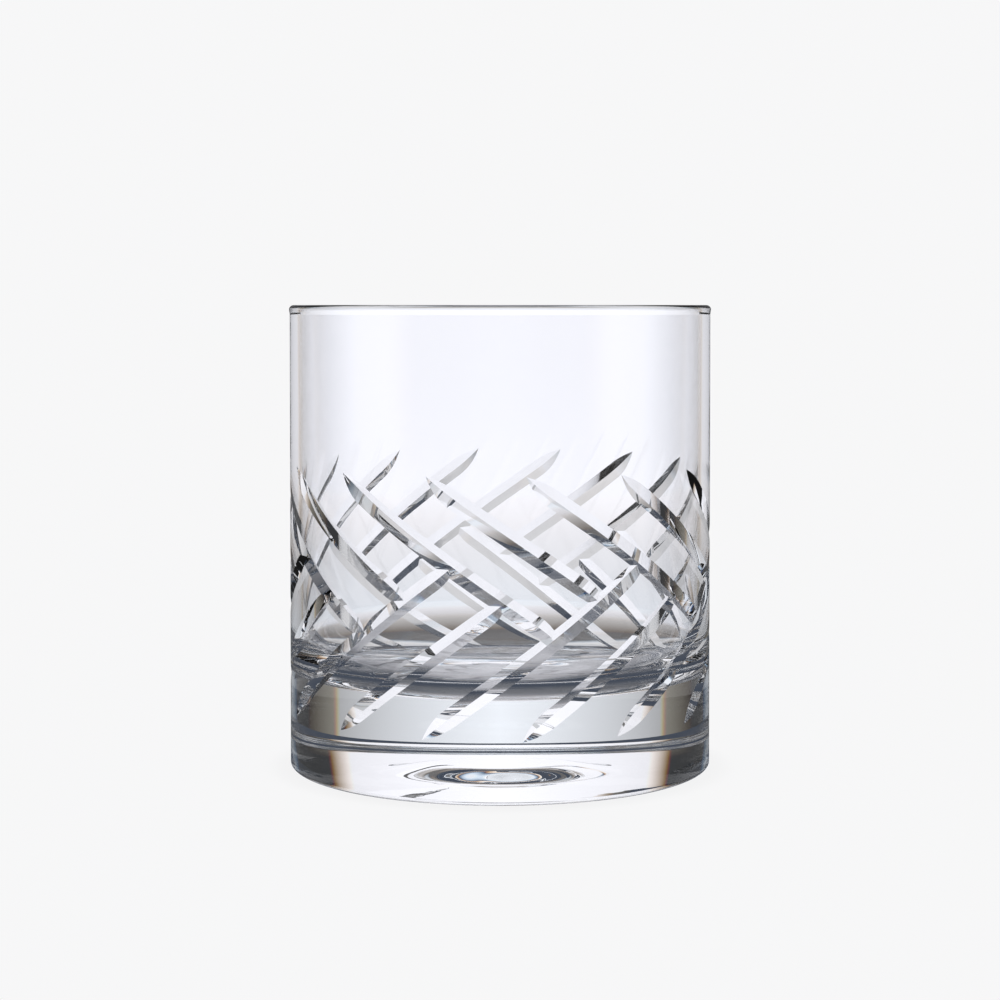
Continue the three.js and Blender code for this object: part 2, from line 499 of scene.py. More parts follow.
@dataclass
class CutBand:
    """The woven band of strokes that a V-edged wheel grinds into the wall."""

    wall_radius: float
    strokes_per_slope: int = 14
    top_tip_height: float = 58.8 * MM
    bottom_tip_height: float = 11.9 * MM
    falling_slope: float = math.radians(34)
    rising_slope: float = math.radians(36)
    first_falling: float = math.radians(6.2)
    first_rising: float = math.radians(5.4)
    depth: float = 1.0 * MM
    half_angle: float = math.radians(60)
    run_in: float = 6.6 * MM
    overrun: float = 1.8 * MM
    falling_hook: float = 0.6 * MM
    rising_hook: float = 0.3 * MM
    proud: float = 0.4 * MM
    stations: int = 96
    skin: float = 0.004 * MM
    slack: float = 0.05 * MM
    margin: float = 3 * MM

    def grinding_tree(self) -> bpy.types.GeometryNodeTree:
        """Builds the tree that shapes one cutter for each stroke and takes them all off the glass.

        Returns:
            The tree. Its inputs are the glass, the band's sizes and the cut's finish.
        """
        tree = bpy.data.node_groups.new("woven_cut_band", "GeometryNodeTree")
        tree.interface.new_socket("Glass", in_out="INPUT", socket_type="NodeSocketGeometry")
        for name, value in self.inputs().items():
            kind = "NodeSocketInt" if isinstance(value, int) else "NodeSocketFloat"
            tree.interface.new_socket(name, in_out="INPUT", socket_type=kind).default_value = value
        tree.interface.new_socket("Cut Finish", in_out="INPUT", socket_type="NodeSocketMaterial")
        tree.interface.new_socket("Glass", in_out="OUTPUT", socket_type="NodeSocketGeometry")
        entry = add_node(tree, "NodeGroupInput")
        given = {name: Term(tree, entry.outputs[name]) for name in self.inputs()}

        count = given["Strokes Per Slope"] * 2.0
        line = add_node(tree, "GeometryNodeMeshLine", Count=count, Offset=(0.0, 0.0, 0.0))
        index = add_node(tree, "GeometryNodeInputIndex")
        numbered = add_node(tree, "GeometryNodeStoreNamedAttribute", {"data_type": "FLOAT"},
                            Geometry=line.outputs["Mesh"], Name="stroke", Value=index.outputs["Index"])
        prism = add_node(tree, "GeometryNodeMeshCylinder", {"fill_type": "TRIANGLE_FAN"}, Vertices=3,
                         Side_Segments=entry.outputs["Stations"], Radius=1.0, Depth=1.0)
        placed = add_node(tree, "GeometryNodeInstanceOnPoints", Points=numbered.outputs["Geometry"],
                          Instance=prism.outputs["Mesh"])
        prisms = add_node(tree, "GeometryNodeRealizeInstances", Geometry=placed.outputs["Instances"])
        cutters = add_node(tree, "GeometryNodeSetPosition", Geometry=prisms.outputs["Geometry"],
                           Position=self._cutter_position(tree, given))
        facets = add_node(tree, "GeometryNodeTriangulate", Mesh=cutters.outputs["Geometry"])
        ground = add_node(tree, "GeometryNodeMeshBoolean", {"operation": "DIFFERENCE", "solver": "EXACT"})
        ground.inputs["Self Intersection"].default_value = True
        tree.links.new(entry.outputs["Glass"], ground.inputs["Mesh 1"])
        tree.links.new(facets.outputs["Mesh"], ground.inputs["Mesh 2"])
        whole = add_node(tree, "GeometryNodeRealizeInstances", Geometry=ground.outputs["Mesh"])
        dressed = add_node(tree, "GeometryNodeSetMaterial", Geometry=whole.outputs["Geometry"],
                           Selection=self._in_groove(tree, given), Material=entry.outputs["Cut Finish"])
        leave = add_node(tree, "NodeGroupOutput")
        tree.links.new(dressed.outputs["Geometry"], leave.inputs["Glass"])
        return tree

    def inputs(self) -> dict[str, float]:
        """Names the tree's inputs and the values that this band gives them."""
        return {
            "Wall Radius": self.wall_radius,
            "Strokes Per Slope": self.strokes_per_slope,
            "Top Tip Height": self.top_tip_height,
            "Bottom Tip Height": self.bottom_tip_height,
            "Falling Slope": self.falling_slope,
            "Rising Slope": self.rising_slope,
            "First Falling": self.first_falling,
            "First Rising": self.first_rising,
            "Groove Depth": self.depth,
            "Groove Half Angle": self.half_angle,
            "Run In": self.run_in,
            "Overrun": self.overrun,
            "Falling Hook": self.falling_hook,
            "Rising Hook": self.rising_hook,
            "Proud": self.proud,
            "Stations": self.stations,
        }

    @staticmethod
    def _cutter_position(tree: bpy.types.NodeTree, given: dict[str, Term]) -> bpy.types.NodeSocket:
        """Works out where a prism's point goes, to bend the prism into its stroke's cutter.

        Args:
            tree: the tree to add to.
            given: the tree's inputs.

        Returns:
            The point's new position.
        """
        number = Term(tree, add_node(tree, "GeometryNodeInputNamedAttribute", {"data_type": "FLOAT"},
                                     Name="stroke").outputs["Attribute"])
        place = add_node(tree, "ShaderNodeSeparateXYZ",
                         Vector=add_node(tree, "GeometryNodeInputPosition").outputs["Position"])
        inward, sideways, lengthways = (Term(tree, place.outputs[axis]) for axis in "XYZ")
        rises = number.math("MODULO", 2.0)
        pair = (number / 2.0).math("FLOOR")
        odd = pair.math("MODULO", 2.0)
        radius = given["Wall Radius"]
        pitch = math_term(tree, "DIVIDE", 2 * math.pi, given["Strokes Per Slope"])
        falling = given["First Falling"] + pair * pitch
        rising = given["First Rising"] + pair * pitch
        met_falling = falling + rises * odd * pitch
        met_rising = rising + (1.0 - rises) * (1.0 - odd) * pitch
        fall = radius * given["Falling Slope"].math("TANGENT")
        rise = radius * given["Rising Slope"].math("TANGENT")
        drop = given["Top Tip Height"] - given["Bottom Tip Height"]
        crossing = (drop + fall * met_falling + rise * met_rising) / (fall + rise)
        slope = rises.choose(given["Rising Slope"], given["Falling Slope"] * -1.0)
        level, climb = slope.math("COSINE"), slope.math("SINE")
        start = rises.choose(rising, falling)
        length = (crossing - start) * radius / level + given["Overrun"]
        along = (lengthways + 0.5) * length
        from_end = along.math("MINIMUM", length - along)
        share = (1.0 - from_end / given["Run In"]).math("MAXIMUM", 0.0)
        first_half = along.math("LESS_THAN", length * 0.5)
        hook = rises.choose(given["Rising Hook"] * -1.0, given["Falling Hook"])
        lateral = first_half.choose(1.0, -1.0) * hook * share * share
        depth = given["Groove Depth"] * (1.0 - share * share)
        angle = start + (along * level - lateral * climb) / radius
        tip = rises.choose(given["Bottom Tip Height"], given["Top Tip Height"])
        root = inward.math("GREATER_THAN", 0.5)
        spread = (depth + given["Proud"]) * given["Groove Half Angle"].math("TANGENT")
        offset = (1.0 - root) * sideways.math("SIGN") * spread
        distance = radius + root.choose(depth * -1.0, given["Proud"])
        sine, cosine = angle.math("SINE"), angle.math("COSINE")
        across = offset * climb * -1.0
        moved = add_node(tree, "ShaderNodeCombineXYZ", X=sine * distance + cosine * across,
                         Y=sine * across - cosine * distance,
                         Z=tip + along * climb + lateral * level + offset * level)
        return moved.outputs["Vector"]

    def _in_groove(self, tree: bpy.types.NodeTree, given: dict[str, Term]) -> bpy.types.NodeSocket:
        """Works out whether a face lies in a groove: under the wall's surface, but not in the well.

        Args:
            tree: the tree to add to.
            given: the tree's inputs.

        Returns:
            A field that is 1 in the grooves.
        """
        place = add_node(tree, "ShaderNodeSeparateXYZ",
                         Vector=add_node(tree, "GeometryNodeInputPosition").outputs["Position"])
        x, y, z = (Term(tree, place.outputs[axis]) for axis in "XYZ")
        distance = (x * x + y * y).math("SQRT")
        root = given["Wall Radius"] - given["Groove Depth"]
        under = distance.math("LESS_THAN", given["Wall Radius"] - self.skin)
        over = distance.math("GREATER_THAN", root - self.slack)
        low = z.math("GREATER_THAN", given["Bottom Tip Height"] - self.margin)
        high = z.math("LESS_THAN", given["Top Tip Height"] + self.margin)
        return (under * over * low * high).socket

    def grind(self, glass: bpy.types.Object, finish: bpy.types.Material) -> bpy.types.Mesh:
        """Grinds the band into the glass.

        Args:
            glass: the uncut glass.
            finish: the finish of the cut facets.

        Returns:
            The cut glass as a plain mesh.
        """
        tree = self.grinding_tree()
        modifier = glass.modifiers.new("cut_band", "NODES")
        modifier.node_group = tree
        values = {**self.inputs(), "Cut Finish": finish}
        for item in tree.interface.items_tree:
            if item.in_out == "INPUT" and item.name in values:
                modifier[item.identifier] = values[item.name]
        evaluated = glass.evaluated_get(bpy.context.evaluated_depsgraph_get())
        cut = bpy.data.meshes.new_from_object(evaluated)
        glass.modifiers.remove(modifier)
        return cut


@dataclass(frozen=True)
class StrokePlan:
    """Where each stroke of a cut band runs, one entry of each array for each stroke."""

    start: np.ndarray
    length: np.ndarray
    slope: np.ndarray
    hook: np.ndarray
    tip: np.ndarray

    def picked(self, numbers: np.ndarray) -> "StrokePlan":
        """Picks strokes by their numbers."""
        return StrokePlan(*(getattr(self, part.name)[numbers] for part in fields(self)))


@dataclass
class GroovePoints:
    """Points seen from their strokes: how far along and across, and the groove's shape there."""

    along: np.ndarray
    across: np.ndarray
    depth: np.ndarray
    deepening: np.ndarray
    bending: np.ndarray


# ---------------------------------------------------------------------------------------------
# The surface normals of the cut glass
# ---------------------------------------------------------------------------------------------


@dataclass
class Polish:
    """Gives the cut glass its exact surface normals, so that it bends light as smooth glass does."""

    band: CutBand
    outline: Outline
    swirl: Swirl

    def plan(self) -> StrokePlan:
        """Works out the strokes, as the grinding tree does."""
        band = self.band
        numbers = np.arange(2 * band.strokes_per_slope)
        rises = numbers % 2
        pair = numbers // 2
        odd = pair % 2
        pitch = 2 * math.pi / band.strokes_per_slope
        falling = band.first_falling + pair * pitch
        rising = band.first_rising + pair * pitch
        fall = band.wall_radius * math.tan(band.falling_slope)
        rise = band.wall_radius * math.tan(band.rising_slope)
        met_falling = falling + rises * odd * pitch
        met_rising = rising + (1 - rises) * (1 - odd) * pitch
        drop = band.top_tip_height - band.bottom_tip_height
        crossing = (drop + fall * met_falling + rise * met_rising) / (fall + rise)
        slope = np.where(rises, band.rising_slope, -band.falling_slope)
        start = np.where(rises, rising, falling)
        length = (crossing - start) * band.wall_radius / np.cos(slope) + band.overrun
        hook = np.where(rises, -band.rising_hook, band.falling_hook)
        tip = np.where(rises, band.bottom_tip_height, band.top_tip_height)
        return StrokePlan(start, length, slope, hook, tip)

    def on_strokes(self, points: np.ndarray, strokes: StrokePlan) -> GroovePoints:
        """Measures points from strokes.

        Args:
            points: places, with their coordinates on the last axis.
            strokes: the strokes, in arrays that match the points' other axes.

        Returns:
            Each point's place and the groove's shape there.
        """
        band = self.band
        turn = np.arctan2(points[..., 0], -points[..., 1]) - strokes.start
        round_wall = band.wall_radius * ((turn + math.pi) % (2 * math.pi) - math.pi)
        up = points[..., 2] - strokes.tip
        level, climb = np.cos(strokes.slope), np.sin(strokes.slope)
        along = round_wall * level + up * climb
        first_half = along < strokes.length / 2
        from_end = np.where(first_half, along, strokes.length - along)
        share = np.clip(1 - from_end / band.run_in, 0, 1)
        fading = np.where(first_half, -1, 1) / band.run_in
        side = np.where(first_half, 1, -1)
        return GroovePoints(
            along=along,
            across=up * level - round_wall * climb - side * strokes.hook * share ** 2,
            depth=band.depth * (1 - share ** 2),
            deepening=-2 * band.depth * share * fading,
            bending=2 * side * strokes.hook * share * fading,
        )

    def groove_normals(self, corners: np.ndarray, owner: np.ndarray,
                       centres: np.ndarray) -> tuple[np.ndarray, np.ndarray]:
        """Works out the normals of groove facets.

        Args:
            corners: the places of the facets' corners.
            owner: the index in centres of the face that each corner belongs to.
            centres: the middles of the faces.

        Returns:
            A normal for each corner, and each corner's place along and across its stroke.
        """
        plan = self.plan()
        steepness = 1 / math.tan(self.band.half_angle)
        seen = self.on_strokes(centres[:, None, :], plan)
        radius = np.hypot(centres[:, 0], centres[:, 1])[:, None]
        miss = np.abs(radius - (self.band.wall_radius - seen.depth + np.abs(seen.across) * steepness))
        beyond = np.maximum(-seen.along, seen.along - plan.length)
        best = np.argmin(miss + np.maximum(beyond, 0), axis=1)
        faces = np.arange(len(centres))
        side = np.sign(seen.across[faces, best])[owner]
        chosen = best[owner]
        strokes = plan.picked(chosen)
        here = self.on_strokes(corners, strokes)
        angle = np.arctan2(corners[:, 0], -corners[:, 1])
        sine, cosine = np.sin(angle), np.cos(angle)
        level, climb = np.cos(strokes.slope), np.sin(strokes.slope)
        outward = np.stack([sine, -cosine, np.zeros_like(angle)], axis=1)
        along = np.stack([cosine * level, sine * level, climb], axis=1)
        across = np.stack([-cosine * climb, -sine * climb, level], axis=1)
        rise_across = side * steepness
        rise_along = -here.deepening - side * steepness * here.bending
        normals = outward - rise_across[:, None] * across - rise_along[:, None] * along
        grain = np.stack([here.along, here.across, chosen * STROKE_SPACING], axis=1)
        return normals / np.linalg.norm(normals, axis=1, keepdims=True), grain

    def turned_normals(self, corners: np.ndarray, owner: np.ndarray,
                       centres: np.ndarray) -> np.ndarray:
        """Works out the normals of turned faces from the facets of the outline.

        Args:
            corners: the places of the faces' corners.
            owner: the index in centres of the face that each corner belongs to.
            centres: the middles of the faces.

        Returns:
            A normal for each corner.
        """
        points = np.array(self.outline.points)
        ends = np.array(self.outline.normals)
        start, end = points[:-1], points[1:]
        place = np.stack([np.hypot(centres[:, 0], centres[:, 1]), centres[:, 2]], axis=1)
        run = end - start
        share = np.einsum("fsk,sk->fs", place[:, None] - start, run) / (run ** 2).sum(axis=1)
        nearest = start + np.clip(share, 0, 1)[..., None] * run
        facet = np.argmin(((place[:, None] - nearest) ** 2).sum(axis=2), axis=1)[owner]
        corner = np.stack([np.hypot(corners[:, 0], corners[:, 1]), corners[:, 2]], axis=1)
        part = ((corner - start[facet]) * run[facet]).sum(axis=1) / (run[facet] ** 2).sum(axis=1)
        part = np.clip(part, 0, 1)[:, None]
        flat = ends[facet, 0] * (1 - part) + ends[facet, 1] * part
        angle = np.arctan2(corners[:, 0], -corners[:, 1])
        middle = np.arctan2(centres[:, 0], -centres[:, 1])[owner]
        angle = np.where(corner[:, 0] < AXIS_REACH, middle, angle)
        outward = flat[:, 0]
        normals = np.stack([outward * np.sin(angle), -outward * np.cos(angle), flat[:, 1]], axis=1)
        swirled = np.array([zone is Zone.WELL for zone in self.outline.zones])[facet]
        normals -= (swirled * flat[:, 1])[:, None] * self.swirl.tilt(corners[:, 0], corners[:, 1])
        return normals / np.linalg.norm(normals, axis=1, keepdims=True)

    def apply(self, mesh: bpy.types.Mesh) -> None:
        """Sets the mesh's corner normals.

        Args:
            mesh: the cut glass, with its zones as material indices.
        """
        places = np.empty(len(mesh.vertices) * 3)
        mesh.vertices.foreach_get("co", places)
        places = places.reshape(-1, 3)
        corner_vertex = np.empty(len(mesh.loops), dtype=int)
        mesh.loops.foreach_get("vertex_index", corner_vertex)
        sides = np.empty(len(mesh.polygons), dtype=int)
        mesh.polygons.foreach_get("loop_total", sides)
        slots = np.empty(len(mesh.polygons), dtype=int)
        mesh.polygons.foreach_get("material_index", slots)
        centres = np.empty(len(mesh.polygons) * 3)
        mesh.polygons.foreach_get("center", centres)
        centres = centres.reshape(-1, 3)
        owner = np.repeat(np.arange(len(sides)), sides)
        corners = places[corner_vertex]
        normals = np.zeros((len(owner), 3))
        grain = np.zeros((len(owner), 3))
        cut = slots == Zone.CUT.value
        here = cut[owner]
        number = (np.cumsum(cut) - 1)[owner]
        normals[here], grain[here] = self.groove_normals(corners[here], number[here], centres[cut])
        number = (np.cumsum(~cut) - 1)[owner]
        normals[~here] = self.turned_normals(corners[~here], number[~here], centres[~cut])
        mesh.polygons.foreach_set("use_smooth", np.ones(len(sides), dtype=bool))
        mesh.normals_split_custom_set(normals)
        lines = mesh.attributes.new(GRAIN, "FLOAT_VECTOR", "CORNER")
        lines.data.foreach_set("vector", grain.ravel())


# ---------------------------------------------------------------------------------------------
# Finishes
# ---------------------------------------------------------------------------------------------


class Lines(Enum):
    """What a finish's marks follow: the whole glass, or each stroke of the band."""

    SURFACE = 0
    STROKES = 1


@dataclass
class Detail:
    """The shader groups that every finish of the crystal shares."""

    PATCH_SCALE: ClassVar[float] = 0.12
    MARK_CONTRAST: ClassVar[float] = 4.0

    ripple: bpy.types.ShaderNodeTree
    marks: bpy.types.ShaderNodeTree
    tone: bpy.types.ShaderNodeTree

    @classmethod
    def built(cls) -> "Detail":
        """Builds the groups."""
        return cls(cls._ripple(), cls._marks(), cls._tone())

    @staticmethod
    def _group(name: str, inputs: dict[str, float | tuple[float, ...]], output: str,
               kind: str) -> tuple[bpy.types.ShaderNodeTree, bpy.types.Node, bpy.types.Node]:
        """Starts a group.

        Args:
            name: the group's name.
            inputs: its inputs by name, each with its usual value.
            output: its output's name.
            kind: its output's socket type.

        Returns:
            The group, its input node and its output node.
        """
        kinds = {float: "NodeSocketFloat", 3: "NodeSocketVector", 4: "NodeSocketColor"}
        group = bpy.data.node_groups.new(name, "ShaderNodeTree")
        for title, value in inputs.items():
            socket = kinds[float if isinstance(value, float) else len(value)]
            group.interface.new_socket(title, in_out="INPUT", socket_type=socket).default_value = value
        group.interface.new_socket(output, in_out="OUTPUT", socket_type=kind)
        return group, add_node(group, "NodeGroupInput"), add_node(group, "NodeGroupOutput")

    @classmethod
    def _ripple(cls) -> bpy.types.ShaderNodeTree:
        """Builds the group for the gentle waves of fire-polished glass. It puts out their height."""
        inputs = {"Place": (0.0, 0.0, 0.0), "Stretch": (1.0, 1.0, 1.0), "Wavelength": 8 * MM,
                  "Depth": 0.002 * MM}
        group, entry, leave = cls._group("crystal_ripple", inputs, "Height", "NodeSocketFloat")
        place = vector_math(group, "MULTIPLY", entry.outputs["Place"], entry.outputs["Stretch"])
        scale = math_term(group, "DIVIDE", 1.0, Term(group, entry.outputs["Wavelength"]))
        waves = add_node(group, "ShaderNodeTexNoise", Vector=place, Scale=scale, Detail=2.0, Roughness=0.35)
        height = Term(group, waves.outputs["Fac"]) * Term(group, entry.outputs["Depth"])
        plug(group, height, leave.inputs["Height"])
        return group

    @classmethod
    def _marks(cls) -> bpy.types.ShaderNodeTree:
        """Builds the group for fine marks of wear or polish. It puts out the roughness."""
        inputs = {"Place": (0.0, 0.0, 0.0), "Stretch": (1.0, 1.0, 1.0), "Size": 1.5 * MM, "Amount": 0.3,
                  "Clear": 0.0, "Marked": 0.02}
        group, entry, leave = cls._group("crystal_marks", inputs, "Roughness", "NodeSocketFloat")
        place = vector_math(group, "MULTIPLY", entry.outputs["Place"], entry.outputs["Stretch"])
        scale = math_term(group, "DIVIDE", 1.0, Term(group, entry.outputs["Size"]))
        specks = add_node(group, "ShaderNodeTexNoise", Vector=place, Scale=scale, Detail=5.0, Roughness=0.6)
        patches = add_node(group, "ShaderNodeTexNoise", Vector=entry.outputs["Place"],
                           Scale=scale * cls.PATCH_SCALE)
        cover = Term(group, specks.outputs["Fac"]) * Term(group, patches.outputs["Fac"]) * 2.0
        edge = 1.0 - Term(group, entry.outputs["Amount"])
        share = ((cover - edge) * cls.MARK_CONTRAST).math("MAXIMUM", 0.0).math("MINIMUM", 1.0)
        marked, clear = (Term(group, entry.outputs[name]) for name in ("Marked", "Clear"))
        roughness = share.choose(marked, clear)
        plug(group, roughness, leave.inputs["Roughness"])
        return group

    @classmethod
    def _tone(cls) -> bpy.types.ShaderNodeTree:
        """Builds the group for the crystal's faint drift between two tints. It puts out the colour."""
        inputs = {"Place": (0.0, 0.0, 0.0), "Size": 25 * MM, "First": (1.0, 1.0, 1.0, 1.0),
                  "Second": (1.0, 1.0, 1.0, 1.0)}
        group, entry, leave = cls._group("crystal_tone", inputs, "Color", "NodeSocketColor")
        scale = math_term(group, "DIVIDE", 1.0, Term(group, entry.outputs["Size"]))
        drift = add_node(group, "ShaderNodeTexNoise", Vector=entry.outputs["Place"], Scale=scale, Detail=1.0)
        mix = add_node(group, "ShaderNodeMixRGB", Fac=drift.outputs["Fac"], Color1=entry.outputs["First"],
                       Color2=entry.outputs["Second"])
        group.links.new(mix.outputs["Color"], leave.inputs["Color"])
        return group


@dataclass(frozen=True)
class CrystalFinish:
    """One finish of the crystal: its tints, its ripple and its marks."""

    name: str
    tint: tuple[float, float, float] = (0.985, 0.988, 1.0)
    second_tint: tuple[float, float, float] = (0.99, 0.99, 0.995)
    follows: Lines = Lines.SURFACE
    stretch: tuple[float, float, float] = (1.0, 1.0, 1.0)
    ripple_wavelength: float = 9 * MM
    ripple_depth: float = 0.006 * MM
    mark_size: float = 1.2 * MM
    mark_amount: float = 0.35
    clear_roughness: float = 0.0
    marked_roughness: float = 0.015

    def material(self, detail: Detail) -> bpy.types.Material:
        """Builds the finish's material.

        Args:
            detail: the shared shader groups.

        Returns:
            A clear glass with the finish's own ripple, marks and tint.
        """
        material = bpy.data.materials.new(self.name)
        material.use_nodes = True
        tree = material.node_tree
        shader = tree.nodes["Principled BSDF"]
        shader.inputs["IOR"].default_value = CRYSTAL_IOR
        shader.inputs["Transmission Weight"].default_value = 1.0
        body_place = add_node(tree, "ShaderNodeTexCoord").outputs["Object"]
        place = body_place
        if self.follows is Lines.STROKES:
            place = add_node(tree, "ShaderNodeAttribute", {"attribute_name": GRAIN}).outputs["Vector"]
        tone = self._placed(tree, detail.tone, Place=body_place, First=(*self.tint, 1.0),
                            Second=(*self.second_tint, 1.0))
        marks = self._placed(tree, detail.marks, Place=place, Stretch=self.stretch, Size=self.mark_size,
                             Amount=self.mark_amount, Clear=self.clear_roughness,
                             Marked=self.marked_roughness)
        ripple = self._placed(tree, detail.ripple, Place=place, Stretch=self.stretch,
                              Wavelength=self.ripple_wavelength, Depth=self.ripple_depth)
        bump = add_node(tree, "ShaderNodeBump", Strength=1.0, Distance=1.0, Height=ripple.outputs["Height"])
        tree.links.new(tone.outputs["Color"], shader.inputs["Base Color"])
        tree.links.new(marks.outputs["Roughness"], shader.inputs["Roughness"])
        tree.links.new(bump.outputs["Normal"], shader.inputs["Normal"])
        return material

    @staticmethod
    def _placed(tree: bpy.types.NodeTree, group: bpy.types.ShaderNodeTree,
                **inputs: object) -> bpy.types.Node:
        """Places a shared group in a material.

        Args:
            tree: the material's tree.
            group: the group.
            inputs: its inputs by name.

        Returns:
            The group's node.
        """
        return add_node(tree, "ShaderNodeGroup", {"node_tree": group}, **inputs)


FINISHES = {
    Zone.WALL: CrystalFinish("crystal_wall"),
    Zone.CUT: CrystalFinish("crystal_cut", tint=(0.98, 0.985, 1.0), follows=Lines.STROKES,
                            stretch=(0.12, 1.0, 1.0), ripple_wavelength=1.2 * MM,
                            ripple_depth=0.0015 * MM, mark_size=0.4 * MM, mark_amount=0.4,
                            marked_roughness=0.03),
    Zone.RIM: CrystalFinish("crystal_rim", ripple_wavelength=5 * MM, ripple_depth=0.01 * MM),
    Zone.WELL: CrystalFinish("crystal_well", ripple_wavelength=7 * MM, ripple_depth=0.008 * MM,
                             mark_amount=0.3),
    Zone.FOOT: CrystalFinish("crystal_foot", ripple_wavelength=3 * MM, ripple_depth=0.004 * MM,
                             mark_size=0.4 * MM, mark_amount=0.55, clear_roughness=0.06,
                             marked_roughness=0.35),
    Zone.PUNT: CrystalFinish("crystal_punt", ripple_wavelength=6 * MM, ripple_depth=0.02 * MM,
                             mark_amount=0.3),
}


# ---------------------------------------------------------------------------------------------
# The studio
# ---------------------------------------------------------------------------------------------


@dataclass(frozen=True)
class Softbox:
    """A soft panel of light round the glass, seen from the glass in degrees.

    Its azimuth counts from behind the glass, and fade is the share of its light lost at its sides.
    """

    azimuth: float
    half_width: float
    low: float
    high: float
    strength: float
    colour: tuple[float, float, float] = NEUTRAL_LIGHT
    side_feather: float = 3.0
    end_feather: float = 6.0
    fade: float = 0.0


def beside(azimuth: float, **sizes: object) -> tuple[Softbox, Softbox]:
    """Makes two like softboxes, one on each side of the glass.

    Args:
        azimuth: how far round from behind the glass they stand, in degrees.
        sizes: the softboxes' other fields.

    Returns:
        The right one and the left one.
    """
    return Softbox(azimuth=azimuth, **sizes), Softbox(azimuth=-azimuth, **sizes)


